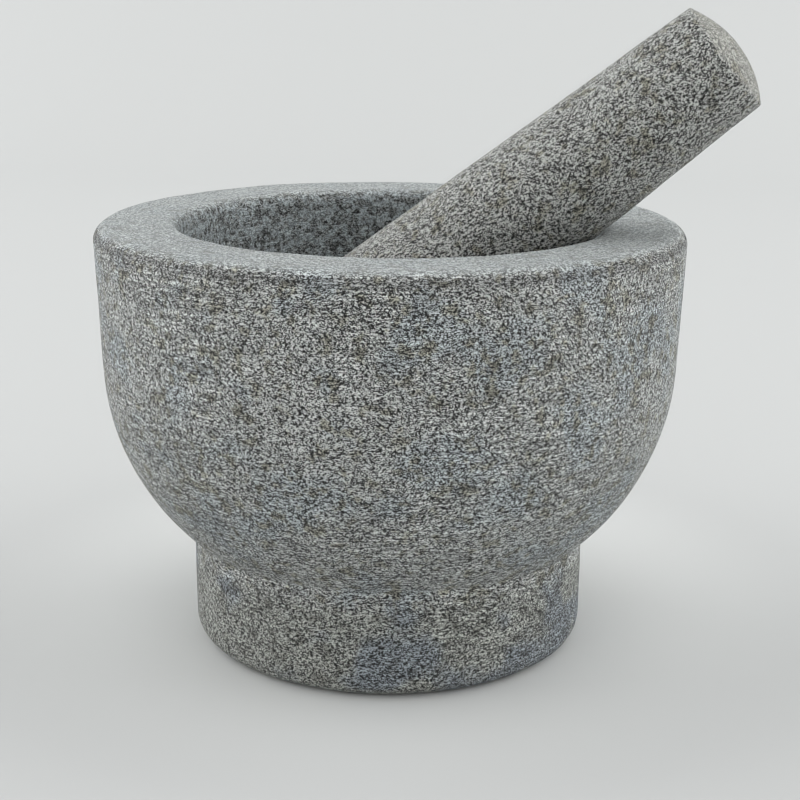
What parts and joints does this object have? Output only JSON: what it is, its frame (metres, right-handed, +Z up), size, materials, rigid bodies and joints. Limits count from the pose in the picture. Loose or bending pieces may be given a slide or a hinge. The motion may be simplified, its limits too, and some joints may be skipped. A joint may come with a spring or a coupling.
{
  "type": "mortar and pestle",
  "caption": "Turned granite mortar with a round bowl on a plain foot, and a loose club-shaped granite pestle leaning on its rim.",
  "frame": {"origin": "centre of the foot's flat underside, on the mortar's axis", "axes": "+Z up along the mortar's axis, +X towards the side that the pestle leans over, +Y away from the side it is seen from"},
  "size_m": [0.1635, 0.15, 0.1635],
  "materials": {
    "mortar_granite": "matte",
    "pestle_granite": "matte"
  },
  "bodies": {
    "mortar": {"mortar": "mortar_granite"},
    "pestle": {"pestle": "pestle_granite"}
  },
  "joints": [
    {"name": "pestle_lift", "type": "slide", "parent": "mortar", "child": "pestle", "axis": [0, 0, 1], "range_m": [0, 0.08]}
  ]
}
